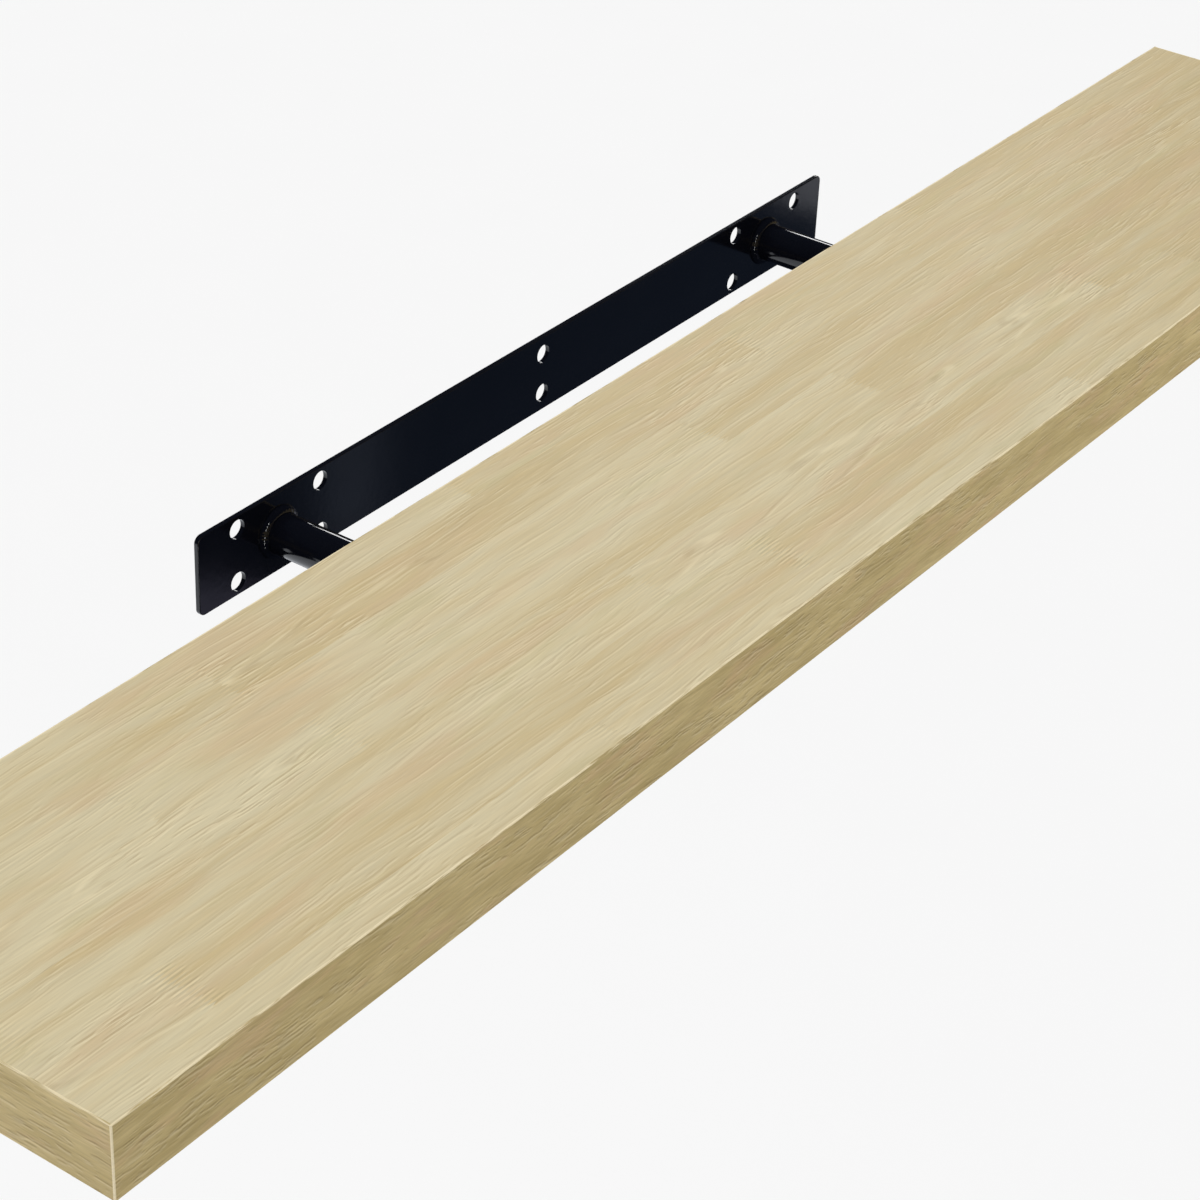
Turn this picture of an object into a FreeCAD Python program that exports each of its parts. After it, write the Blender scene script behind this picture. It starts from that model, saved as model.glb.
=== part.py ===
import FreeCAD, Part

import math
import os

import Sketcher
from FreeCAD import Vector

# A floating wall shelf, in millimetres, +Z up.
#
# A flat steel plate is screwed to the wall, and two tubes are welded to its front. A light board
# with a frame and honeycomb inside slides onto the tubes until its back meets the plate.
# The origin is the centre of the plate's wall side: +X runs along the shelf, +Y points into the
# wall. The board is drawn part way on, with the tubes still showing behind it.

SIZES = {
    # the board, outside
    "board_length": 1200,
    "board_depth": 200,
    "board_thickness": 38,
    "board_gap": 54,  # from the plate's front to the board's back, as drawn
    # the board, inside
    "skin_thickness": 3,
    "band_thickness": 1,
    "band_ease": 0.5,
    "rail_width": 24,
    "block_width": 70,
    "cell_pitch": 30,
    "cell_wall": 0.6,
    # the bores that take the tubes
    "bore_diameter": 23,
    "bore_depth": 160,
    "relief_diameter": 30,
    "relief_depth": 4.5,
    # the wall plate
    "plate_length": 550,
    "plate_height": 45,
    "plate_thickness": 2.5,
    "plate_corner": 4,
    "plate_ease": 0.4,
    "hole_diameter": 10.5,
    "outer_hole_inset": 28,
    "inner_hole_inset": 90,
    "hole_rows": 30,  # height between the rows at the four end columns
    "middle_hole_rows": 24,  # and at the middle column
    # the tubes, their welds and their end plugs
    "tube_inset": 58,
    "tube_diameter": 22,
    "tube_wall": 2,
    "tube_reach": 150,  # from the plate's front to the plug's end
    "weld_leg": 3.5,
    "weld_toe": 0.7,
    "plug_head": 2,
    "plug_ease": 0.8,
    "plug_spigot": 12,
}

SIDES = {"left": -1, "right": 1}

# Expressions that several pieces share.
INNER_LENGTH = "(Sizes.board_length - 2 * Sizes.band_thickness)"
INNER_DEPTH = "(Sizes.board_depth - 2 * Sizes.band_thickness)"
INNER_HEIGHT = "(Sizes.board_thickness - 2 * Sizes.skin_thickness)"
BAY_DEPTH = f"({INNER_DEPTH} - 2 * Sizes.rail_width)"
BOARD_BACK = "(-Sizes.plate_thickness - Sizes.board_gap)"
BOARD_MIDDLE = f"({BOARD_BACK} - Sizes.board_depth / 2)"
BOARD_BOTTOM = "-Sizes.board_thickness / 2"
INNER_BOTTOM = f"-{INNER_HEIGHT} / 2"
TUBE_X = "(Sizes.plate_length / 2 - Sizes.tube_inset)"
TUBE_RADIUS = "Sizes.tube_diameter / 2"

doc = FreeCAD.newDocument("WallShelf")


def make_sheet():
    """The spreadsheet of driving dimensions: a name, its value, and an alias to bind to."""
    table = doc.addObject("Spreadsheet::Sheet", "Sizes")
    for row, (name, size) in enumerate(SIZES.items(), start=1):
        table.set(f"A{row}", name)
        table.set(f"B{row}", str(size))
        table.setAlias(f"B{row}", name)
    doc.recompute()
    return table


sheet = make_sheet()


# --- ways to draw --------------------------------------------------------------------------


def value(expression):
    """What an expression of the sheet comes to now."""
    return float(sheet.evalExpression(expression.replace("Sizes.", "")))


def make_body(label):
    """An empty body, named for its piece."""
    body = doc.addObject("PartDesign::Body", label)
    body.Label = label
    return body


def place(body, x="0", y="0", z="0"):
    """Binds where a piece stands to three expressions."""
    for axis, expression in zip("xyz", (x, y, z)):
        body.setExpression(f"Placement.Base.{axis}", expression)


def origin_part(body, role):
    """One of the body's own origin planes or axes."""
    return next(f for f in body.Origin.OriginFeatures if f.Role == role)


def make_sketch(body, name, role="XY_Plane"):
    """A sketch on one of the body's own origin planes."""
    sketch = body.newObject("Sketcher::SketchObject", name)
    sketch.AttachmentSupport = (origin_part(body, role), [""])
    sketch.MapMode = "FlatFace"
    return sketch


def bind(sketch, constraint, expression):
    """Adds a driving dimension and binds it to an expression."""
    index = sketch.addConstraint(constraint)
    sketch.setExpression(f"Constraints[{index}]", expression)


def bind_point(sketch, geometry, point, x, y):
    """Holds a point at bound distances from the sketch's origin, or on an axis where one is 0."""
    for way, axis, expression in (("DistanceX", -2, x), ("DistanceY", -1, y)):
        if expression == "0":
            sketch.addConstraint(Sketcher.Constraint("PointOnObject", geometry, point, axis))
        else:
            constraint = Sketcher.Constraint(way, -1, 1, geometry, point, value(expression))
            bind(sketch, constraint, expression)


def join_ends(sketch, count):
    """Closes an outline: each piece of it starts where the one before ends."""
    for i in range(count):
        sketch.addConstraint(Sketcher.Constraint("Coincident", i, 2, (i + 1) % count, 1))


def draw_rectangle(sketch, width, height):
    """A rectangle centred on the sketch's origin, with bound width and height."""
    x = value(width) / 2
    y = value(height) / 2
    corners = [Vector(-x, -y), Vector(x, -y), Vector(x, y), Vector(-x, y)]
    for i in range(4):
        sketch.addGeometry(Part.LineSegment(corners[i], corners[(i + 1) % 4]))
    join_ends(sketch, 4)
    for i, way in enumerate(("Horizontal", "Vertical", "Horizontal", "Vertical")):
        sketch.addConstraint(Sketcher.Constraint(way, i))
    sketch.addConstraint(Sketcher.Constraint("Symmetric", 0, 1, 1, 2, -1, 1))
    bind(sketch, Sketcher.Constraint("DistanceX", 0, 1, 0, 2, 2 * x), width)
    bind(sketch, Sketcher.Constraint("DistanceY", 1, 1, 1, 2, 2 * y), height)


def draw_circle(sketch, diameter, x="0", y="0"):
    """A circle of a bound diameter, its centre at bound places along the sketch's axes."""
    centre = Vector(value(x), value(y))
    index = sketch.addGeometry(Part.Circle(centre, Vector(0, 0, 1), value(diameter) / 2))
    bind(sketch, Sketcher.Constraint("Diameter", index, value(diameter)), diameter)
    bind_point(sketch, index, 3, x, y)


def draw_outline(sketch, points):
    """A closed outline of straight lines through points, each a pair of expressions."""
    start = [Vector(value(x), value(y)) for x, y in points]
    count = len(points)
    for i in range(count):
        sketch.addGeometry(Part.LineSegment(start[i], start[(i + 1) % count]))
    join_ends(sketch, count)
    for i, (x, y) in enumerate(points):
        bind_point(sketch, i, 1, x, y)


def pad(body, sketch, length):
    """Pads a sketch along its normal by a bound length."""
    feature = body.newObject("PartDesign::Pad", "Pad")
    feature.Profile = sketch
    feature.setExpression("Length", length)
    doc.recompute()
    return feature


def pocket(body, sketch, depth=None):
    """Cuts a sketch into the body: right through, or a bound depth in from its back."""
    before = body.Shape.Volume
    feature = body.newObject("PartDesign::Pocket", "Pocket")
    feature.Profile = sketch
    if depth is None:
        feature.Type = "ThroughAll"
        feature.Midplane = True
    else:
        feature.Type = "Length"
        feature.Reversed = True
        feature.setExpression("Length", depth)
    doc.recompute()
    if body.Shape.Volume > before - 1:
        raise RuntimeError(f"a cut in {body.Label} removed nothing")


def revolve(body, sketch):
    """Turns a sketch once around the body's own Y axis."""
    feature = body.newObject("PartDesign::Revolution", "Revolution")
    feature.Profile = sketch
    feature.ReferenceAxis = (origin_part(body, "Y_Axis"), [""])
    feature.Angle = 360
    doc.recompute()


def round_edges(body, base, radius, wanted):
    """Fillets the edges of a feature for which wanted(edge) is true."""
    names = [f"Edge{i + 1}" for i, edge in enumerate(base.Shape.Edges) if wanted(edge)]
    feature = body.newObject("PartDesign::Fillet", "Fillet")
    feature.Base = (base, names)
    feature.setExpression("Radius", radius)
    doc.recompute()
    return feature


def runs_along(edge, direction):
    """Whether an edge is straight and runs along a direction."""
    if edge.Curve.TypeId != "Part::GeomLine":
        return False
    run = edge.Vertexes[-1].Point - edge.Vertexes[0].Point
    return abs(abs(run.normalize().dot(direction)) - 1) < 1e-6


def lies_furthest(edge, shape, direction):
    """Whether all of an edge is as far along a direction as the shape reaches."""
    reach = max(vertex.Point.dot(direction) for vertex in shape.Vertexes)
    return all(abs(vertex.Point.dot(direction) - reach) < 1e-6 for vertex in edge.Vertexes)


# --- the bracket ---------------------------------------------------------------------------


def hole_centres():
    """The screw holes: an outer and an inner column at each end, and one in the middle."""
    columns = [("0", "Sizes.middle_hole_rows")]
    for side in SIDES.values():
        for inset in ("Sizes.outer_hole_inset", "Sizes.inner_hole_inset"):
            columns.append((f"{side} * (Sizes.plate_length / 2 - {inset})", "Sizes.hole_rows"))
    return [(x, f"{row} * {rows} / 2") for x, rows in columns for row in (-1, 1)]


def make_wall_plate():
    """A flat bar with round corners, softened front edges and two rows of round holes."""
    body = make_body("wall_plate")
    outline = make_sketch(body, "PlateOutline", "XZ_Plane")
    draw_rectangle(outline, "Sizes.plate_length", "Sizes.plate_height")
    bar = pad(body, outline, "Sizes.plate_thickness")
    through = Vector(0, 1, 0)
    cornered = round_edges(body, bar, "Sizes.plate_corner", lambda e: runs_along(e, through))
    solid = cornered.Shape
    round_edges(body, cornered, "Sizes.plate_ease", lambda e: lies_furthest(e, solid, -through))
    holes = make_sketch(body, "ScrewHoles", "XZ_Plane")
    for x, z in hole_centres():
        draw_circle(holes, "Sizes.hole_diameter", x, z)
    pocket(body, holes)
    return body


def place_on_tube(body, side, y="0"):
    """Puts a piece on a tube's axis, y away from the plate's front: out of the wall is less."""
    place(body, f"{side} * {TUBE_X}", f"-Sizes.plate_thickness + {y}")
    return body


def make_tube(name, side):
    """A steel tube that stands square out of the plate."""
    body = make_body(f"{name}_tube")
    ring = make_sketch(body, "TubeRing", "XZ_Plane")
    draw_circle(ring, "Sizes.tube_diameter")
    draw_circle(ring, "Sizes.tube_diameter - 2 * Sizes.tube_wall")
    pad(body, ring, "Sizes.tube_reach - Sizes.plug_head")
    return place_on_tube(body, side)


def make_weld(name, side):
    """The weld around the tube's foot: a hollow fillet that ends in a small step at its toe."""
    body = make_body(f"{name}_weld_bead")
    section = make_sketch(body, "WeldSection", "XY_Plane")
    outer = f"{TUBE_RADIUS} + Sizes.weld_leg"
    corners = [
        (f"{TUBE_RADIUS} + Sizes.weld_toe", "-Sizes.weld_leg"),
        (TUBE_RADIUS, "-Sizes.weld_leg"),
        (TUBE_RADIUS, "0"),
        (outer, "0"),
        (outer, "-Sizes.weld_toe"),
    ]
    start = [Vector(value(x), value(y)) for x, y in corners]
    hollow_centre = Vector(start[4].x, start[0].y)
    hollow = Part.Circle(hollow_centre, Vector(0, 0, 1), start[4].y - start[0].y)
    for i in range(4):
        section.addGeometry(Part.LineSegment(start[i], start[i + 1]))
    section.addGeometry(Part.ArcOfCircle(hollow, math.pi / 2, math.pi))
    join_ends(section, 5)
    for i, (x, y) in enumerate(corners):
        bind_point(section, i, 1, x, y)
    section.addConstraint(Sketcher.Constraint("Vertical", 4, 3, 4, 1))
    revolve(body, section)
    return place_on_tube(body, side)


def make_plug(name, side):
    """A plastic plug that closes the tube's free end: a thin head and a spigot inside."""
    body = make_body(f"{name}_end_plug")
    section = make_sketch(body, "PlugSection", "XY_Plane")
    spigot_radius = f"{TUBE_RADIUS} - Sizes.tube_wall"
    outline = [
        ("0", "-Sizes.plug_head"),
        (f"{TUBE_RADIUS} - Sizes.plug_ease", "-Sizes.plug_head"),
        (TUBE_RADIUS, "-Sizes.plug_head + Sizes.plug_ease"),
        (TUBE_RADIUS, "0"),
        (spigot_radius, "0"),
        (spigot_radius, "Sizes.plug_spigot"),
        ("0", "Sizes.plug_spigot"),
    ]
    draw_outline(section, outline)
    revolve(body, section)
    return place_on_tube(body, side, "Sizes.plug_head - Sizes.tube_reach")


# --- the board -----------------------------------------------------------------------------


def make_slab(label, length, depth, height, x="0", y=BOARD_MIDDLE, z=INNER_BOTTOM):
    """A plain rectangular piece, centred on x and y, that stands on z."""
    body = make_body(label)
    outline = make_sketch(body, "Outline")
    draw_rectangle(outline, length, depth)
    pad(body, outline, height)
    place(body, x, y, z)
    return body


def make_skin(label, z):
    """A thin fibreboard skin, faced with the board's wood pattern."""
    return make_slab(label, INNER_LENGTH, INNER_DEPTH, "Sizes.skin_thickness", z=z)


def make_rail(label, y):
    """A lengthwise rail of the frame between the skins."""
    return make_slab(label, INNER_LENGTH, "Sizes.rail_width", INNER_HEIGHT, y=y)


def make_end_rail(name, side):
    """A short rail that closes one end of the frame."""
    x = f"{side} * ({INNER_LENGTH} - Sizes.rail_width) / 2"
    return make_slab(f"{name}_end_rail", "Sizes.rail_width", BAY_DEPTH, INNER_HEIGHT, x=x)


def make_back_rail():
    """The back rail: bored through for each tube, with a wider mouth that clears the weld."""
    half = "Sizes.rail_width / 2"
    body = make_rail("back_rail", f"{BOARD_BACK} - Sizes.band_thickness - {half}")
    bores = make_sketch(body, "TubeBores", "XZ_Plane")
    mouths = make_sketch(body, "WeldReliefs", "XZ_Plane")
    mouths.setExpression("AttachmentOffset.Base.z", f"-{half}")
    for side in SIDES.values():
        x = f"{side} * {TUBE_X}"
        draw_circle(bores, "Sizes.bore_diameter", x, f"{INNER_HEIGHT} / 2")
        draw_circle(mouths, "Sizes.relief_diameter", x, f"{INNER_HEIGHT} / 2")
    pocket(body, bores)
    pocket(body, mouths, "Sizes.relief_depth - Sizes.band_thickness")
    return body


def make_block(name, side):
    """A solid block that holds a tube: the back rail's bore goes on into it and stops short."""
    x = f"{side} * {TUBE_X}"
    body = make_slab(f"{name}_tube_block", "Sizes.block_width", BAY_DEPTH, INNER_HEIGHT, x=x)
    bore = make_sketch(body, "TubeBore", "XZ_Plane")
    bore.setExpression("AttachmentOffset.Base.z", f"-{BAY_DEPTH} / 2")
    draw_circle(bore, "Sizes.bore_diameter", "0", f"{INNER_HEIGHT} / 2")
    pocket(body, bore, "Sizes.bore_depth - Sizes.band_thickness - Sizes.rail_width")
    return body


def make_band(label, length, depth, x, y, outer):
    """An edge band over the board's whole thickness, its edges eased on the outer side."""
    height = "Sizes.board_thickness"
    body = make_slab(label, length, depth, height, x=x, y=y, z=BOARD_BOTTOM)
    base = body.Tip
    strip = base.Shape
    round_edges(body, base, "Sizes.band_ease", lambda e: lies_furthest(e, strip, outer))
    return body


def make_long_band(label, y, outer):
    """A band along the front or the back, over the ends of the short bands."""
    return make_band(label, "Sizes.board_length", "Sizes.band_thickness", "0", y, outer)


def make_back_band():
    """The back band has a hole for each tube, as wide as the mouths in the rail behind it."""
    y = f"{BOARD_BACK} - Sizes.band_thickness / 2"
    body = make_long_band("back_edge_band", y, Vector(0, 1, 0))
    holes = make_sketch(body, "TubeHoles", "XZ_Plane")
    for side in SIDES.values():
        x = f"{side} * {TUBE_X}"
        draw_circle(holes, "Sizes.relief_diameter", x, "Sizes.board_thickness / 2")
    pocket(body, holes)
    return body


def make_end_band(name, side):
    """The band over one end, between the two long bands."""
    x = f"{side} * (Sizes.board_length - Sizes.band_thickness) / 2"
    width = "Sizes.band_thickness"
    height = "Sizes.board_thickness"
    body = make_slab(f"{name}_edge_band", width, INNER_DEPTH, height, x=x, z=BOARD_BOTTOM)
    base = body.Tip
    strip = base.Shape
    outer = Vector(side, 0, 0)
    along = Vector(0, 1, 0)
    round_edges(
        body,
        base,
        "Sizes.band_ease",
        lambda e: runs_along(e, along) and lies_furthest(e, strip, outer),
    )
    return body


def hexagon(centre, across_flats):
    """A flat hexagonal face whose flats face +X and -X."""
    radius = across_flats / math.sqrt(3)
    corners = []
    for i in range(7):
        turn = math.radians(60 * i + 30)
        corners.append(centre + Vector(radius * math.cos(turn), radius * math.sin(turn), 0))
    return Part.Face(Part.makePolygon(corners))


def make_core(label, left_end, right_end):
    """A bay of paper honeycomb with a thin rim, its cells standing on end and open at both."""
    low = Vector(value(left_end), value(f"{BOARD_MIDDLE} - {BAY_DEPTH} / 2"), value(INNER_BOTTOM))
    length = value(right_end) - low.x
    depth = value(BAY_DEPTH)
    height = value(INNER_HEIGHT)
    pitch = value("Sizes.cell_pitch")
    wall = value("Sizes.cell_wall")
    rim = Vector(wall, wall, 0)
    inside = Part.makeBox(length - 2 * wall, depth - 2 * wall, height, low + rim)
    row_step = pitch * math.sqrt(3) / 2
    cells = []
    for row in range(math.ceil(depth / row_step) + 1):
        shift = pitch / 2 if row % 2 else 0
        for column in range(math.ceil(length / pitch) + 1):
            centre = low + Vector(column * pitch + shift, row * row_step, 0)
            cell = hexagon(centre, pitch - wall).extrude(Vector(0, 0, height)).common(inside)
            if cell.Volume > 1:
                cells.append(cell)
    core = doc.addObject("Part::Feature", label)
    core.Label = label
    core.Shape = Part.makeBox(length, depth, height, low).cut(cells).Solids[0]
    core.Placement = FreeCAD.Placement()
    return core


def make_cores():
    """Honeycomb fills the bays beside and between the two tube blocks."""
    frame_end = f"({INNER_LENGTH} / 2 - Sizes.rail_width)"
    block_outside = f"({TUBE_X} + Sizes.block_width / 2)"
    block_inside = f"({TUBE_X} - Sizes.block_width / 2)"
    return [
        make_core("left_core", f"-{frame_end}", f"-{block_outside}"),
        make_core("centre_core", f"-{block_inside}", block_inside),
        make_core("right_core", block_outside, frame_end),
    ]


# --- the whole shelf -----------------------------------------------------------------------


def make_bracket():
    """The pieces that stay on the wall."""
    pieces = [make_wall_plate()]
    for name, side in SIDES.items():
        pieces += [make_tube(name, side), make_weld(name, side), make_plug(name, side)]
    return pieces


def make_board():
    """The pieces that slide on and off together."""
    board_front = f"{BOARD_BACK} - Sizes.board_depth"
    front_band_y = f"{board_front} + Sizes.band_thickness / 2"
    front_rail_y = f"{board_front} + Sizes.band_thickness + Sizes.rail_width / 2"
    pieces = [
        make_skin("top_panel", f"{INNER_HEIGHT} / 2"),
        make_skin("bottom_panel", BOARD_BOTTOM),
        make_rail("front_rail", front_rail_y),
        make_back_rail(),
        make_long_band("front_edge_band", front_band_y, Vector(0, -1, 0)),
        make_back_band(),
    ]
    for name, side in SIDES.items():
        pieces += [make_end_rail(name, side), make_block(name, side), make_end_band(name, side)]
    return pieces + make_cores()


def check(pieces):
    """Stops if an object of the document failed, or a piece isn't one valid solid."""
    doc.recompute()
    for item in doc.Objects:
        if "Invalid" in item.State or "Error" in item.State:
            raise RuntimeError(f"{item.Name} failed: {item.State}")
    for piece in pieces:
        shape = piece.Shape
        if shape.isNull() or not shape.isValid() or len(shape.Solids) != 1:
            raise RuntimeError(f"{piece.Label} isn't one valid solid")


def export(pieces):
    """Writes each piece to a STEP file of its own name."""
    os.makedirs("parts", exist_ok=True)
    for piece in pieces:
        piece.Shape.exportStep(f"parts/{piece.Label}.step")


shelf_pieces = make_bracket() + make_board()
check(shelf_pieces)
export(shelf_pieces)
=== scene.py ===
import math

import bmesh
import bpy
from mathutils import Matrix, Vector


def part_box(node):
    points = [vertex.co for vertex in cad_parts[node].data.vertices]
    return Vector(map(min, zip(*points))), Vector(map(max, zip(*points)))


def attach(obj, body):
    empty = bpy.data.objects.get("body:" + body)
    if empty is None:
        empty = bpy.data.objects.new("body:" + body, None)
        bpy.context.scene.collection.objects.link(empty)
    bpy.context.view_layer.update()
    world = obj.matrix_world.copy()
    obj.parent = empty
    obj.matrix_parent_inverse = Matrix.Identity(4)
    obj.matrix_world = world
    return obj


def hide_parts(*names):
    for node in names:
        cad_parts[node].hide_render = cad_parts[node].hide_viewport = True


# A floating wall shelf: an oak-effect board part way onto the two tubes of a black steel plate.
# Metres, +Z up, +Y into the wall. Every place comes from the CAD frame.

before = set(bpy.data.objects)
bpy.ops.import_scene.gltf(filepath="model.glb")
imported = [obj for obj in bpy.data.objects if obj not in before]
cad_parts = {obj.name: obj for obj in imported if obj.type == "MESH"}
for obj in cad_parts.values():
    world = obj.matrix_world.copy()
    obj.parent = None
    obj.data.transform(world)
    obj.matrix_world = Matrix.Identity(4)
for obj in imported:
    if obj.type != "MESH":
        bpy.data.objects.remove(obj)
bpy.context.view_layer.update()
scene = bpy.context.scene

MM = 0.001

# The front edge band is as long and as high as the board, and starts at its left front corner.
FRONT_LOW, FRONT_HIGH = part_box("front_edge_band")


# --- the view --------------------------------------------------------------------------------

VIEW_AZIMUTH = math.radians(-55.14)  # from the front, round to the left end
VIEW_ELEVATION = math.radians(32.36)
VIEW_ROLL = math.radians(2.73)
VIEW_DISTANCE = 1.493
VIEW_AIM = Vector((-0.190, -0.180, 0.019))
LENS_MM = 94.9
SENSOR_MM = 36


def make_camera():
    """The camera looks at the board's top from above its left end and is turned a little."""
    level = math.cos(VIEW_ELEVATION)
    back = Vector(
        (math.sin(VIEW_AZIMUTH) * level, -math.cos(VIEW_AZIMUTH) * level, math.sin(VIEW_ELEVATION))
    )
    right = Vector((0, 0, 1)).cross(back).normalized()
    up = back.cross(right)
    turned_right = right * math.cos(VIEW_ROLL) + up * math.sin(VIEW_ROLL)
    turned_up = up * math.cos(VIEW_ROLL) - right * math.sin(VIEW_ROLL)
    data = bpy.data.cameras.new("camera")
    data.lens = LENS_MM
    data.sensor_width = SENSOR_MM
    camera = bpy.data.objects.new("camera", data)
    turn = Matrix((turned_right, turned_up, back)).transposed().to_4x4()
    camera.matrix_world = Matrix.Translation(VIEW_AIM + back * VIEW_DISTANCE) @ turn
    scene.collection.objects.link(camera)
    scene.camera = camera


# --- shader nodes in short -------------------------------------------------------------------


class Nodes:
    """Adds nodes to one tree and joins them. A value is a number, a colour or a socket."""

    def __init__(self, tree):
        self.tree = tree

    def add(self, kind, **settings):
        node = self.tree.nodes.new(kind)
        for name, setting in settings.items():
            setattr(node, name, setting)
        return node

    def feed(self, socket, value):
        if isinstance(value, bpy.types.NodeSocket):
            self.tree.links.new(value, socket)
        elif isinstance(value, tuple) and len(value) == 3 and socket.type == "RGBA":
            socket.default_value = (*value, 1)
        else:
            socket.default_value = value

    def split(self, vector):
        node = self.add("ShaderNodeSeparateXYZ")
        self.feed(node.inputs[0], vector)
        return node.outputs

    def join(self, x, y, z=0.0):
        node = self.add("ShaderNodeCombineXYZ")
        for socket, value in zip(node.inputs, (x, y, z)):
            self.feed(socket, value)
        return node.outputs[0]

    def math(self, operation, *values):
        node = self.add("ShaderNodeMath", operation=operation)
        for socket, value in zip(node.inputs, values):
            self.feed(socket, value)
        return node.outputs[0]

    def plus(self, a, b):
        return self.math("ADD", a, b)

    def times(self, a, b):
        return self.math("MULTIPLY", a, b)

    def times_plus(self, value, factor, extra):
        """value x factor + extra."""
        return self.math("MULTIPLY_ADD", value, factor, extra)

    def vary(self, base, noise, amount):
        """A value moved up and down by a noise from 0 to 1, by half the amount each way."""
        return self.times_plus(self.plus(noise, -0.5), amount, base)

    def stronger(self, a, b):
        """The larger of two values."""
        return self.math("MAXIMUM", a, b)

    def random(self, vector):
        """Even random numbers, one for each whole-number point."""
        node = self.add("ShaderNodeTexWhiteNoise", noise_dimensions="3D")
        self.feed(node.inputs["Vector"], vector)
        return node.outputs["Value"]

    def noise(self, vector, detail=2.0, rough=0.5, distortion=0.0):
        """Smooth noise about one unit wide, from 0 to 1."""
        node = self.add("ShaderNodeTexNoise")
        self.feed(node.inputs["Vector"], vector)
        for name, value in (
            ("Scale", 1.0),
            ("Detail", detail),
            ("Roughness", rough),
            ("Distortion", distortion),
        ):
            self.feed(node.inputs[name], value)
        return node.outputs["Fac"]

    def band(self, value, low, high):
        """Rises smoothly from 0 at low to 1 at high. low may be above high."""
        node = self.add("ShaderNodeMapRange", interpolation_type="SMOOTHSTEP")
        for name, setting in (("Value", value), ("From Min", low), ("From Max", high)):
            self.feed(node.inputs[name], setting)
        return node.outputs["Result"]

    def lookup(self, number, values):
        """The value that stands at a whole number's place in a list of values from 0 to 1."""
        node = self.add("ShaderNodeValToRGB")
        ramp = node.color_ramp
        ramp.interpolation = "CONSTANT"
        for _ in values[2:]:
            ramp.elements.new(0.5)
        for place, (stop, value) in enumerate(zip(ramp.elements, values)):
            stop.position = place / len(values)
            stop.color = (value, value, value, 1)
        self.feed(node.inputs["Fac"], self.times(self.plus(number, 0.5), 1 / len(values)))
        return self.split(node.outputs["Color"])[0]

    def mix(self, share, a, b):
        node = self.add("ShaderNodeMix", data_type="RGBA")
        self.feed(node.inputs["Factor"], share)
        self.feed(node.inputs[6], a)
        self.feed(node.inputs[7], b)
        return node.outputs[2]

    def scale_colour(self, colour, factor):
        """A colour times a number, channel by channel."""
        node = self.add("ShaderNodeVectorMath", operation="SCALE")
        self.feed(node.inputs[0], colour)
        self.feed(node.inputs["Scale"], factor)
        return node.outputs[0]

    def bump(self, height, distance, strength=1.0):
        node = self.add("ShaderNodeBump")
        self.feed(node.inputs["Height"], height)
        self.feed(node.inputs["Distance"], distance)
        self.feed(node.inputs["Strength"], strength)
        return node.outputs[0]


class Shader(Nodes):
    """The nodes of one new material. x, y and z are the place on the piece, in metres."""

    def __init__(self, name):
        self.material = bpy.data.materials.new(name)
        self.material.use_nodes = True
        super().__init__(self.material.node_tree)
        self.surface = self.tree.nodes["Principled BSDF"]
        self.x, self.y, self.z = self.split(self.add("ShaderNodeTexCoord").outputs["Object"])

    def fine_noise(self, per_metre, *settings):
        """Noise of the same grain every way."""
        scaled = (self.times(place, per_metre) for place in (self.x, self.y, self.z))
        return self.noise(self.join(*scaled), *settings)

    def finish(self, **sockets):
        """Sets or joins the surface's own sockets, and gives the material."""
        for name, value in sockets.items():
            self.feed(self.surface.inputs[name.replace("_", " ")], value)
        return self.material


# --- oak -------------------------------------------------------------------------------------

OAK_PALE = (0.672, 0.588, 0.380)  # greenish straw
OAK_WARM = (0.580, 0.458, 0.242)  # tan
OAK_ROSY = (0.620, 0.465, 0.268)
OAK_CREAM = (0.860, 0.750, 0.490)
OAK_OLIVE = (0.560, 0.490, 0.262)
# dark lines: partly pores and dark grain, partly painted shadow behind each pale line
OAK_PORE_AND_SHADOW = (0.340, 0.230, 0.100)
# The edge bands' tones, darker and more saturated than the face's oak: partly the bands' own print,
# partly painted shade for the front and ends, which stand in shade below the lit top.
BAND_LIGHT = (0.575, 0.456, 0.220)
BAND_DARK = (0.448, 0.345, 0.148)
BAND_ROSY = (0.552, 0.389, 0.205)
# the bands' dark strokes: partly pores, partly painted shadow behind each pale stroke
BAND_PORE_AND_SHADOW = (0.230, 0.160, 0.060)
# the pale line at the bands' cut edges: partly their core, partly a painted highlight on the eased
# edge
BAND_CORE_AND_HIGHLIGHT = (0.800, 0.690, 0.450)

STAVE_WIDTH = 33 * MM
STAVE_LENGTH = 425 * MM
FIRST_STAVE = 17 * MM  # width of the part stave along the front edge
FINGER_PITCH = 2.3 * MM
FINGER_REACH = 2.5 * MM  # how far the fingers of two staves interlock
JOINT_MARK = 7.5 * MM  # half the length of the strokes that mark a joint
# Each row of staves from the front: where its first joint lies from the left end, in
# millimetres, and how warm each stave is in turn, from 0, pale, to 1, tan.
STAVES = [
    (327, 0.35, 0.10, 0.60, 0.85),
    (76, 0.15, 0.70, 0.85, 1.00),
    (11, 0.30, 0.40, 0.35, 0.90),
    (247, 0.10, 0.55, 0.95, 0.80),
    (150, 0.30, 0.20, 0.80, 1.00),
    (244, 0.65, 0.90, 0.75, 1.00),
    (22, 0.40, 0.35, 0.80, 1.00),
]
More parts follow.
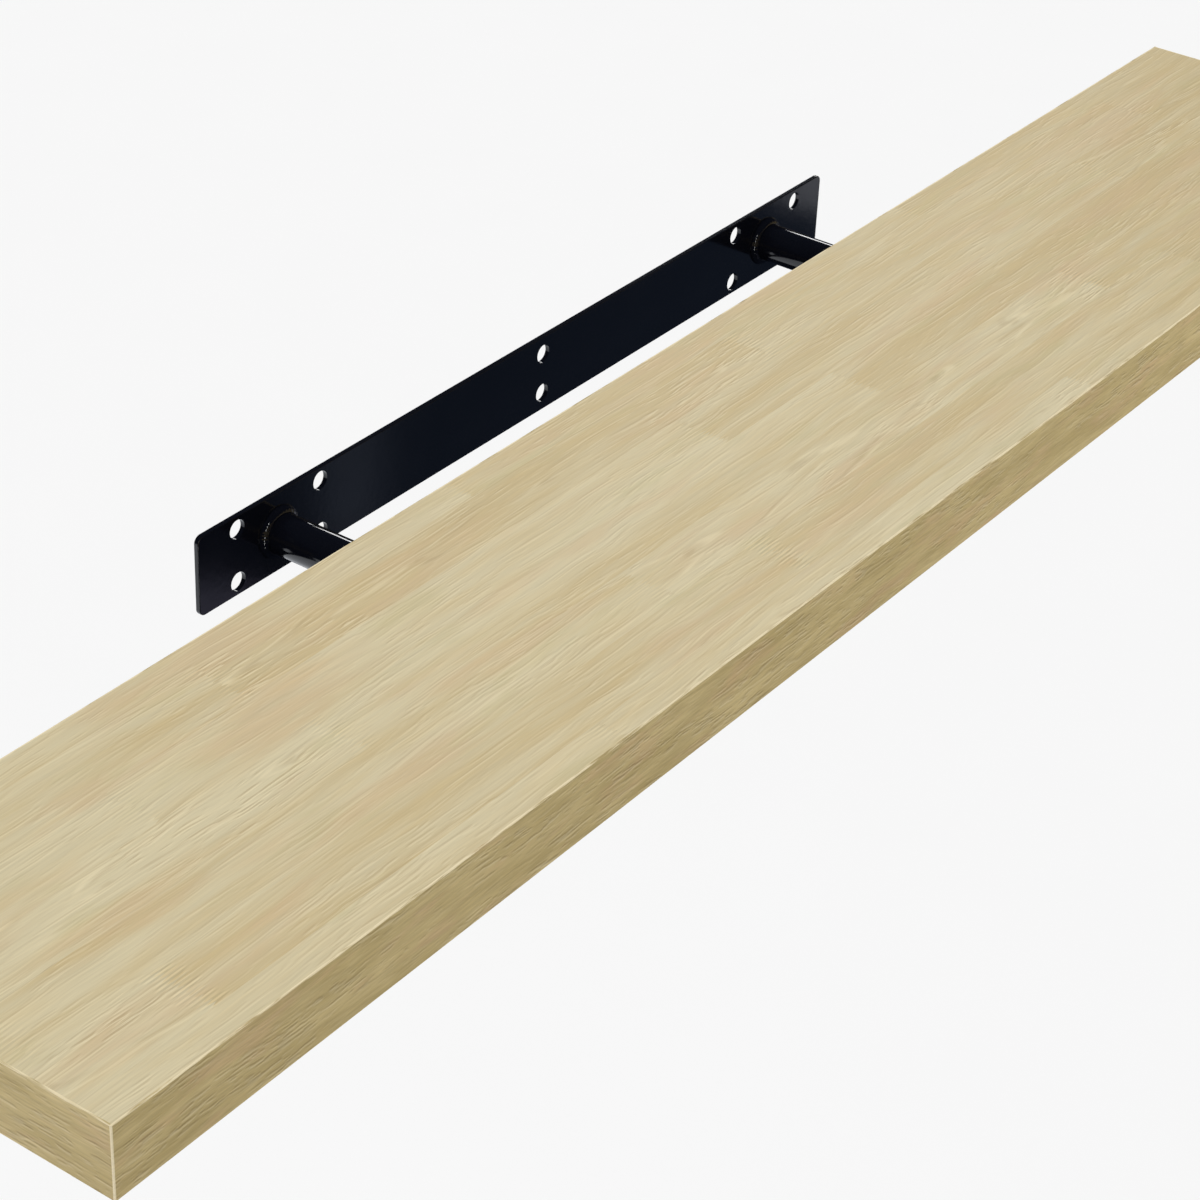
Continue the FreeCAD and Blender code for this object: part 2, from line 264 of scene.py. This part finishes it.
# The staves, by row and place in it, whose growth rings show clearly.
FIGURED_STAVES = {(0, 1), (1, 0), (2, 2), (3, 0), (4, 3), (5, 1)}
LONGEST_OFFSET = 1000  # scales the joints' places into a ramp's range
GRAIN_SWAY = 5 * MM  # how far the grain wanders
RING_PITCH = 5.0 * MM  # between growth rings
RING_SLOPE = 0.045  # how slowly the rings' arches narrow along a stave
RING_WAVER = 1.4  # how far the rings wander, in rings
STROKE_STEP = 1.0 * MM  # from a pale stroke to the dark one behind it, which is partly dark grain, partly painted shadow of the pale line's ridge
PRINT_GLOSS = 0.25  # the facing's specular level
PRINT_ROUGHNESS = 0.42
PRINT_ROUGHNESS_SPREAD = 0.20


def streaks(s, along, across, seed, length, width, detail=2.0):
    """Smooth variation along the grain, 0 to 1. Patches have a length and width in millimetres."""
    place = s.join(s.times(along, 1 / (length * MM)), s.times(across, 1 / (width * MM)), seed)
    return s.noise(place, detail)


def strokes(s, along, across, seed, length, width, low, high):
    """Short strokes along the grain, each pale one with a dark one behind it that is partly dark
    grain, partly painted shadow of the pale ridge: (pale, dark), 0 to 1.
    """
    shades = []
    for step in (0.0, STROKE_STEP):
        ridges = streaks(s, along, s.plus(across, -step), seed, length, width, detail=1.0)
        shades.append(s.band(ridges, low, high))
    return shades


def arches(s, along, across, seed):
    """Growth rings cut lengthwise, as broken lines in narrow arches, each pale line with a dark one
    behind it that is partly dark grain, partly painted shadow: (pale, dark), 0 to 1.
    """
    aside = s.plus(s.random(s.join(seed, 1.5, 0.5)), -0.5)
    tip = s.times(s.random(s.join(seed, 2.5, 0.5)), STAVE_LENGTH)
    dx = s.times(s.math("SUBTRACT", along, tip), RING_SLOPE)
    dy = s.math("SUBTRACT", across, s.times(aside, 0.5 * STAVE_WIDTH))
    radius = s.math("SQRT", s.plus(s.times(dx, dx), s.times(dy, dy)))
    waver = streaks(s, along, across, seed, 90.0, 17.0)
    level = s.plus(s.times(radius, 1 / RING_PITCH), s.times(waver, RING_WAVER))
    unbroken = s.band(streaks(s, along, across, seed, 45.0, 4.0), 0.42, 0.60)
    shades = []
    for step in (0.0, STROKE_STEP / RING_PITCH):
        line = s.band(s.math("PINGPONG", s.plus(level, step), 0.5), 0.40, 0.48)
        shades.append(s.times(line, unbroken))
    return shades


def oak_face():
    """Staves of oak print, finger-jointed end to end, with grain along the board."""
    s = Shader("oak_face")
    along = s.plus(s.x, -FRONT_LOW.x)
    across = s.plus(s.y, -FRONT_LOW.y)
    row_place = s.times(s.plus(across, STAVE_WIDTH - FIRST_STAVE), 1 / STAVE_WIDTH)
    row = s.math("FLOOR", row_place)
    in_stave = s.times(s.plus(s.math("FRACT", row_place), -0.5), STAVE_WIDTH)
    offset = s.lookup(row, [first / LONGEST_OFFSET for first, *_ in STAVES])
    from_joint = s.math("SUBTRACT", along, s.times(offset, LONGEST_OFFSET * MM))

    # the fingers interlock, each a little longer or shorter than the next
    finger_place = s.times(across, 1 / FINGER_PITCH)
    finger = s.math("PINGPONG", s.times(finger_place, 2.0), 1.0)
    finger_size = s.random(s.join(s.math("FLOOR", finger_place), offset, 3.5))
    reach = s.times(s.times_plus(finger_size, 0.9, 0.5), FINGER_REACH)
    shifted = s.times_plus(s.times_plus(finger, 2.0, -1.0), reach, from_joint)
    stave = s.math("FLOOR", s.times(shifted, 1 / STAVE_LENGTH))
    kinds = len(STAVES[0]) - 1
    stave_number = s.plus(s.times_plus(row, float(kinds), 1.0), stave)
    tone = s.lookup(stave_number, [tone for _, *tones in STAVES for tone in tones])
    places = [(number, place) for number in range(len(STAVES)) for place in range(kinds)]
    figured = s.lookup(stave_number, [float(place in FIGURED_STAVES) for place in places])
    seed = s.times(s.random(s.join(stave, row, 7.5)), 60.0)
    sway = s.plus(streaks(s, along, across, seed, 110.0, 40.0), -0.5)
    grain = s.times_plus(sway, 2 * GRAIN_SWAY, across)

    # colour: the stave's own tone, broad bands along it, and rosy and olive patches
    broad = streaks(s, along, grain, seed, 380.0, 12.0)
    cloud = streaks(s, along, grain, seed, 110.0, 30.0, 3.0)
    mottle = streaks(s, along, grain, seed, 42.0, 8.0, 3.0)
    share = s.vary(s.times(tone, 0.70), broad, 1.70)
    share = s.vary(share, cloud, 0.75)
    share = s.vary(share, mottle, 1.0)
    colour = s.mix(s.band(share, -0.21, 1.09), OAK_PALE, OAK_WARM)
    rosy = s.times(s.band(streaks(s, along, grain, 4.5, 120.0, 24.0, 3.0), 0.50, 0.70), 0.60)
    colour = s.mix(rosy, colour, OAK_ROSY)
    olive = s.times(s.band(streaks(s, along, grain, 5.5, 70.0, 15.0, 3.0), 0.54, 0.74), 0.45)
    colour = s.mix(olive, colour, OAK_OLIVE)
    fibre = streaks(s, along, grain, seed, 33.0, 0.87)
    light = s.vary(1.0, fibre, 0.24)
    light = s.vary(light, mottle, 0.16)

    # the strokes that mark a joint, in a stack whose middle wanders
    stagger = s.plus(streaks(s, offset, across, 2.5, 50.0, 12.0), -0.5)
    from_mark = s.times_plus(stagger, 2 * JOINT_MARK, from_joint)
    in_length = s.math("FRACT", s.times(from_mark, 1 / STAVE_LENGTH))
    from_end = s.times(s.math("PINGPONG", in_length, 0.5), STAVE_LENGTH)
    from_end = s.times_plus(finger_size, -0.5 * JOINT_MARK, from_end)
    joint = s.band(from_end, JOINT_MARK, JOINT_MARK * 0.4)
    joint_number = s.math("FLOOR", s.plus(s.times(from_joint, 1 / STAVE_LENGTH), 0.5))
    clear = s.times_plus(s.random(s.join(joint_number, row, 11.5)), 0.7, 0.3)
    joint = s.times(joint, s.times(clear, s.times_plus(finger_size, 0.7, 0.3)))
    stroke = s.times(s.plus(s.band(finger, 0.25, 0.75), -0.5), joint)
    light = s.times_plus(stroke, 0.31, light)
    colour = s.scale_colour(colour, light)

    # lines: growth rings in the figured staves, short strokes in patches, and long veins; each pale
    # line's dark partner is partly dark grain, partly painted shadow
    patch = s.band(streaks(s, along, across, 8.5, 75.0, 22.0), 0.48, 0.64)
    patch = s.times(patch, s.times_plus(figured, 0.5, 0.5))
    busy = s.stronger(s.times_plus(patch, 0.75, 0.25), s.times(joint, 0.5))
    rings = arches(s, from_joint, in_stave, seed)
    pale_ring, dark_ring = [s.times(line, figured) for line in rings]
    short = strokes(s, along, grain, seed, 19.0, 1.2, 0.55, 0.66)
    pale_stroke, dark_stroke = [s.times(line, busy) for line in short]
    # the dark vein is a painted shadow set just behind the pale vein
    pale_vein, dark_vein = strokes(s, along, grain, s.plus(seed, 21.5), 65.0, 1.5, 0.60, 0.70)
    dark = s.stronger(s.times(dark_ring, 0.24), s.times(dark_stroke, 0.36))
    colour = s.mix(s.stronger(dark, s.times(dark_vein, 0.20)), colour, OAK_PORE_AND_SHADOW)
    pale = s.stronger(s.times(pale_ring, 0.36), s.times(pale_stroke, 0.50))
    colour = s.mix(s.stronger(pale, s.times(pale_vein, 0.30)), colour, OAK_CREAM)

    relief = s.plus(s.times(fibre, 0.5), s.math("SUBTRACT", pale, dark))
    relief = s.plus(relief, s.times(stroke, 0.5))
    return s.finish(
        Base_Color=colour,
        Roughness=s.times_plus(fibre, PRINT_ROUGHNESS_SPREAD, PRINT_ROUGHNESS),
        Normal=s.bump(relief, 0.10 * MM, 0.7),
        Specular_IOR_Level=PRINT_GLOSS,
    )


def oak_edge(name, run):
    """An oak-effect band whose grain runs along x or y. Its tone is partly painted shade, and the
    pale line at its cut edges is partly its pale core, partly a painted highlight on the eased
    edge.
    """
    s = Shader(name)
    along, across_flat = (s.x, s.y) if run == "x" else (s.y, s.x)
    across = s.plus(s.z, s.times(across_flat, 0.37))
    sway = streaks(s, along, across, 0.5, 80.0, 35.0)
    across = s.times_plus(sway, GRAIN_SWAY, across)
    broad = streaks(s, along, across, 1.5, 90.0, 8.0, 3.0)
    cloud = streaks(s, along, across, 2.5, 35.0, 14.0, 3.0)
    share = s.vary(0.5, broad, 1.7)
    share = s.vary(share, cloud, 1.5)
    # the band's tone, darker than the face's: partly its own print, partly painted shade
    colour = s.mix(s.band(share, -0.1, 1.1), BAND_DARK, BAND_LIGHT)
    rosy = s.times(s.band(streaks(s, along, across, 3.5, 45.0, 10.0, 3.0), 0.50, 0.70), 0.6)
    colour = s.mix(rosy, colour, BAND_ROSY)
    fibre = streaks(s, along, across, 5.5, 17.0, 0.8)
    light = s.vary(1.0, fibre, 0.50)
    colour = s.scale_colour(colour, light)
    patch = s.band(streaks(s, along, across, 6.5, 50.0, 9.0), 0.40, 0.60)
    busy = s.times_plus(patch, 0.75, 0.25)
    short = strokes(s, along, across, 7.5, 10.0, 1.1, 0.52, 0.64)
    pale, dark = [s.times(line, busy) for line in short]
    # dark strokes: partly dark grain, partly painted shadow behind each pale stroke
    colour = s.mix(s.times(dark, 0.46), colour, BAND_PORE_AND_SHADOW)
    colour = s.mix(s.times(pale, 0.24), colour, OAK_CREAM)
    # the cut edges: a pale line, partly the band's pale core showing, partly a painted highlight
    # where the eased edge catches light
    top_edge = s.band(s.math("ABSOLUTE", s.z), FRONT_HIGH.z - 0.55 * MM, FRONT_HIGH.z - 0.40 * MM)
    end_edge = s.band(s.math("ABSOLUTE", s.x), FRONT_HIGH.x - 0.65 * MM, FRONT_HIGH.x - 0.45 * MM)
    top_edge = s.times(top_edge, s.band(fibre, 0.30, 0.55))
    cut = s.stronger(top_edge, end_edge) if run == "x" else top_edge
    core_and_highlight = s.scale_colour(BAND_CORE_AND_HIGHLIGHT, s.times_plus(fibre, 0.3, 0.85))
    colour = s.mix(cut, colour, core_and_highlight)
    relief = s.plus(s.times(fibre, 0.6), s.math("SUBTRACT", pale, dark))
    return s.finish(
        Base_Color=colour,
        Roughness=s.times_plus(fibre, PRINT_ROUGHNESS_SPREAD, PRINT_ROUGHNESS),
        Normal=s.bump(relief, 0.08 * MM, 0.6),
        Specular_IOR_Level=PRINT_GLOSS,
    )


def raw_wood(name, run, pale, dark):
    """Plain inner timber, with grain along x or y."""
    s = Shader(name)
    along, across_flat = (s.x, s.y) if run == "x" else (s.y, s.x)
    across = s.plus(s.z, s.times(across_flat, 0.6))
    broad = streaks(s, along, across, 1.5, 160.0, 6.0, 3.0)
    fibre = streaks(s, along, across, 2.5, 28.0, 0.8)
    colour = s.mix(s.band(broad, 0.3, 0.7), dark, pale)
    colour = s.scale_colour(colour, s.times_plus(fibre, 0.5, 0.75))
    late_wood = s.band(broad, 0.35, 0.5)
    return s.finish(
        Base_Color=colour,
        Roughness=s.times_plus(late_wood, 0.08, 0.70),
        Normal=s.bump(fibre, 0.2 * MM, 0.7),
    )


def kraft_paper():
    """Brown paper with short fibres, for the honeycomb."""
    s = Shader("kraft_paper")
    small = s.join(s.times(s.x, 900.0), s.times(s.y, 900.0), s.times(s.z, 300.0))
    fibres = s.noise(small, 3.0, 0.6, 0.8)
    colour = s.mix(fibres, (0.36, 0.24, 0.13), (0.56, 0.41, 0.25))
    return s.finish(Base_Color=colour, Roughness=0.9, Normal=s.bump(fibres, 0.1 * MM, 0.5))


# --- the bracket's paint and plastic ---------------------------------------------------------


def black_paint():
    """Deep gloss black over steel, with a faint orange peel and a little haze."""
    s = Shader("black_paint")
    peel = s.fine_noise(260.0)
    haze = s.fine_noise(18.0, 3.0, 0.6)
    colour = s.mix(haze, (0.0022, 0.0026, 0.0048), (0.0040, 0.0046, 0.0075))
    return s.finish(
        Base_Color=colour,
        Roughness=s.times_plus(haze, 0.08, 0.06),
        Normal=s.bump(peel, 0.03 * MM, 0.5),
        Specular_IOR_Level=0.5,
    )


def plug_plastic():
    """Matte black plastic with a fine spark-eroded grain."""
    s = Shader("plug_plastic")
    grit = s.fine_noise(2600.0, 2.0, 0.6)
    colour = s.mix(grit, (0.012, 0.012, 0.013), (0.024, 0.024, 0.026))
    return s.finish(Base_Color=colour, Roughness=0.62, Normal=s.bump(grit, 0.04 * MM, 0.6))


# --- round steel: weld beads and tubes -------------------------------------------------------

WELD_RIPPLES = 34
RIPPLE_HEIGHT = 0.09 * MM
STEPS_PER_RIPPLE = 6
PROFILE_STEPS = 10
WELD_CROWN = 0.5 * MM  # how far the bead's face bulges
TUBE_STEPS = 160
TUBE_WALL = 2 * MM
TUBE_END_ROUND = 0.4 * MM
TUBE_EDGE_ANGLE = math.radians(35)


def directions(steps):
    """Even directions all the way round the Y axis."""
    for step in range(steps):
        turn = 2 * math.pi * step / steps
        yield Vector((math.cos(turn), 0, math.sin(turn)))


def round_piece(name, node, sections, material, smooth_sides, edge_angle=None):
    """Joins closed sections all the way round into one piece, in place of a CAD node.

    The first smooth_sides sides of each section are shaded smooth, up to the edge angle.
    """
    shape = bmesh.new()
    rings = [[shape.verts.new(point) for point in section] for section in sections]
    count = len(rings[0])
    for ring, following in zip(rings, rings[1:] + rings[:1]):
        for i in range(count):
            j = (i + 1) % count
            face = shape.faces.new((ring[i], ring[j], following[j], following[i]))
            face.smooth = i < smooth_sides
    bmesh.ops.recalc_face_normals(shape, faces=shape.faces)
    mesh = bpy.data.meshes.new(name)
    shape.to_mesh(mesh)
    shape.free()
    mesh.materials.append(material)
    if edge_angle is not None:
        mesh.set_sharp_from_angle(angle=edge_angle)
    piece = bpy.data.objects.new(name, mesh)
    scene.collection.objects.link(piece)
    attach(piece, "bracket")
    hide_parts(node)


def weld_ring(side, material):
    """A bead of weld round a tube's foot, its ripples lapping one over the next."""
    node = f"{side}_weld_bead"
    low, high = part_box(node)
    tube_low, tube_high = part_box(f"{side}_tube")
    centre = (tube_low + tube_high) / 2
    inner = (tube_high.x - tube_low.x) / 2
    leg = high.y - low.y
    foot = Vector((centre.x, high.y, centre.z))
    sections = []
    for step, outward in enumerate(directions(WELD_RIPPLES * STEPS_PER_RIPPLE)):
        lap = (step % STEPS_PER_RIPPLE) / STEPS_PER_RIPPLE
        crown = WELD_CROWN + RIPPLE_HEIGHT * math.sin(math.pi * lap**0.6)
        # from the toe on the plate up to the tube, then back inside against both
        points = []
        for i in range(PROFILE_STEPS + 1):
            share = i / PROFILE_STEPS
            bulge = crown * math.sin(math.pi * share)
            radius = inner + leg * (1 - share) + bulge
            points.append(foot + outward * radius - Vector((0, leg * share + bulge, 0)))
        points.append(foot + outward * inner)
        sections.append(points)
    round_piece(f"{side}_weld_ring", node, sections, material, PROFILE_STEPS)


def smooth_tube(side, material):
    """The tube again, finely stepped so that gloss runs clean along it."""
    node = f"{side}_tube"
    low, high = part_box(node)
    centre = (low + high) / 2
    outer = (high.x - low.x) / 2
    inner = outer - TUBE_WALL
    soft = TUBE_END_ROUND
    profile = [
        (inner, high.y),
        (outer, high.y),
        (outer, low.y + soft),
        (outer - soft, low.y),
        (inner, low.y),
    ]
    axis = Vector((centre.x, 0, centre.z))
    sections = [
        [axis + outward * radius + Vector((0, y, 0)) for radius, y in profile]
        for outward in directions(TUBE_STEPS)
    ]
    sides = len(profile)
    round_piece(f"{side}_steel_tube", node, sections, material, sides, TUBE_EDGE_ANGLE)


# --- dressing the CAD nodes ------------------------------------------------------------------


def dress(material, *nodes):
    """Gives CAD nodes one material."""
    for name in nodes:
        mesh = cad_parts[name].data
        mesh.materials.clear()
        mesh.materials.append(material)


def dress_all():
    paint = black_paint()
    dress(paint, "wall_plate")
    for side in ("left", "right"):
        smooth_tube(side, paint)
        weld_ring(side, paint)
    dress(plug_plastic(), "left_end_plug", "right_end_plug")
    dress(oak_face(), "top_panel", "bottom_panel")
    dress(oak_edge("oak_edge_long", "x"), "front_edge_band", "back_edge_band")
    dress(oak_edge("oak_edge_short", "y"), "left_edge_band", "right_edge_band")
    pine = ((0.62, 0.45, 0.27), (0.50, 0.34, 0.18))
    dress(raw_wood("rail_wood", "x", *pine), "front_rail", "back_rail")
    blocks = ("left_end_rail", "right_end_rail", "left_tube_block", "right_tube_block")
    dress(raw_wood("block_wood", "y", *pine), *blocks)
    dress(kraft_paper(), "left_core", "centre_core", "right_core")


# --- floor and light -------------------------------------------------------------------------

FLOOR_DROP = 3.6
FLOOR_SIZE = 90
FLOOR_WHITE = 0.943
SKY_LEVEL = 0.42  # at the horizon
SKY_ZENITH = 1.27
GROUND_LEVEL = 0.58
REFLECTED_ROOM = (0.010, 0.014, 0.026)  # what the gloss paint sees where no light stands
BACKDROP = (0.930, 0.930, 0.930)  # seen directly, past the floor's edge


def make_floor():
    bpy.ops.mesh.primitive_plane_add(size=FLOOR_SIZE, location=(0, 0, -FLOOR_DROP))
    floor = bpy.context.object
    floor.name = "floor"
    s = Shader("floor")
    mottle = s.noise(s.join(s.times(s.x, 3.0), s.times(s.y, 3.0)), 2.0)
    colour = s.mix(mottle, (FLOOR_WHITE - 0.004,) * 3, (FLOOR_WHITE + 0.004,) * 3)
    floor.data.materials.append(s.finish(Base_Color=colour, Roughness=1.0, Specular_IOR_Level=0.0))
    floor.visible_glossy = False
    floor.visible_diffuse = False


def make_sky():
    """A soft room: bright overhead, dimmer at the sides, dark where gloss looks past the lights."""
    world = bpy.data.worlds.new("room")
    scene.world = world
    world.use_nodes = True
    s = Nodes(world.node_tree)
    height = s.split(s.add("ShaderNodeTexCoord").outputs["Generated"])[2]
    rise = s.add("ShaderNodeMapRange")
    for name, value in (("Value", height), ("To Min", SKY_LEVEL), ("To Max", SKY_ZENITH)):
        s.feed(rise.inputs[name], value)
    level = s.add("ShaderNodeMix", data_type="FLOAT")
    s.feed(level.inputs["Factor"], s.math("LESS_THAN", height, 0.0))
    s.feed(level.inputs[2], rise.outputs["Result"])
    s.feed(level.inputs[3], GROUND_LEVEL)
    ray = s.add("ShaderNodeLightPath").outputs
    light = s.mix(ray["Is Glossy Ray"], level.outputs[0], REFLECTED_ROOM)
    background = s.tree.nodes["Background"]
    s.feed(background.inputs["Color"], s.mix(ray["Is Camera Ray"], light, BACKDROP))
    s.feed(background.inputs["Strength"], 1.0)


def softbox(name, place, aim, size, radiance, tint=(1, 1, 1), for_gloss=True):
    """An area light, given by how bright it looks, that only gloss or only matt surfaces see."""
    data = bpy.data.lights.new(name, "AREA")
    data.shape = "RECTANGLE"
    width, height = size
    data.size = width
    data.size_y = height
    data.energy = radiance * width * height * math.pi
    data.color = tint
    light = bpy.data.objects.new(name, data)
    back = (Vector(place) - Vector(aim)).normalized()
    turn = back.to_track_quat("Z", "Y").to_matrix().to_4x4()
    light.matrix_world = Matrix.Translation(place) @ turn
    light.visible_camera = False
    light.visible_diffuse = not for_gloss
    light.visible_glossy = for_gloss
    scene.collection.objects.link(light)


def make_lights():
    """Strips for the bright lines on the tubes and welds, cards for the dull patches on the
    plate, and two fills for the oak's front and left end."""
    middle = (0, -0.03, 0)
    left_foot = (-0.217, 0, 0)
    softbox("strip_behind", (1.75, 1.15, 0.60), middle, (1.0, 0.30), 7.0)
    softbox("strip_front", (-1.05, -1.25, -0.05), left_foot, (0.14, 1.9), 12.0)
    grey = (0.92, 0.93, 1.0)
    softbox("card_below", (-0.45, 0.55, -0.50), (-0.2, 0, 0), (1.3, 0.8), 1.1, (0.92, 0.95, 1.0))
    softbox("card_right", (1.40, -0.43, -0.42), (0.27, 0, 0.01), (0.50, 0.28), 0.58, grey)
    blue = (0.42, 0.62, 1.0)
    softbox("card_middle", (0.88, -0.60, -0.55), (0.03, 0, 0), (0.56, 0.34), 0.06, blue)
    pale_blue = (0.72, 0.80, 1.0)
    softbox("card_left", (0.545, -0.60, -0.55), (-0.17, 0, 0), (0.045, 0.34), 0.20, pale_blue)
    violet = (0.75, 0.72, 1.0)
    softbox("card_corner", (0.355, -0.60, -0.62), (-0.27, 0, -0.02), (0.12, 0.12), 0.40, violet)
    fill = (0.8, 0.6)
    softbox("fill_front", (1.1, -1.5, -0.55), (0.4, -0.25, 0), fill, 6.0, for_gloss=False)
    cool = (0.97, 0.99, 1.12)
    softbox("fill_left", (-1.9, -0.1, -0.5), (-0.6, -0.15, 0), fill, 3.3, cool, for_gloss=False)


make_camera()
scene.view_settings.view_transform = "Standard"
dress_all()
make_floor()
make_sky()
make_lights()
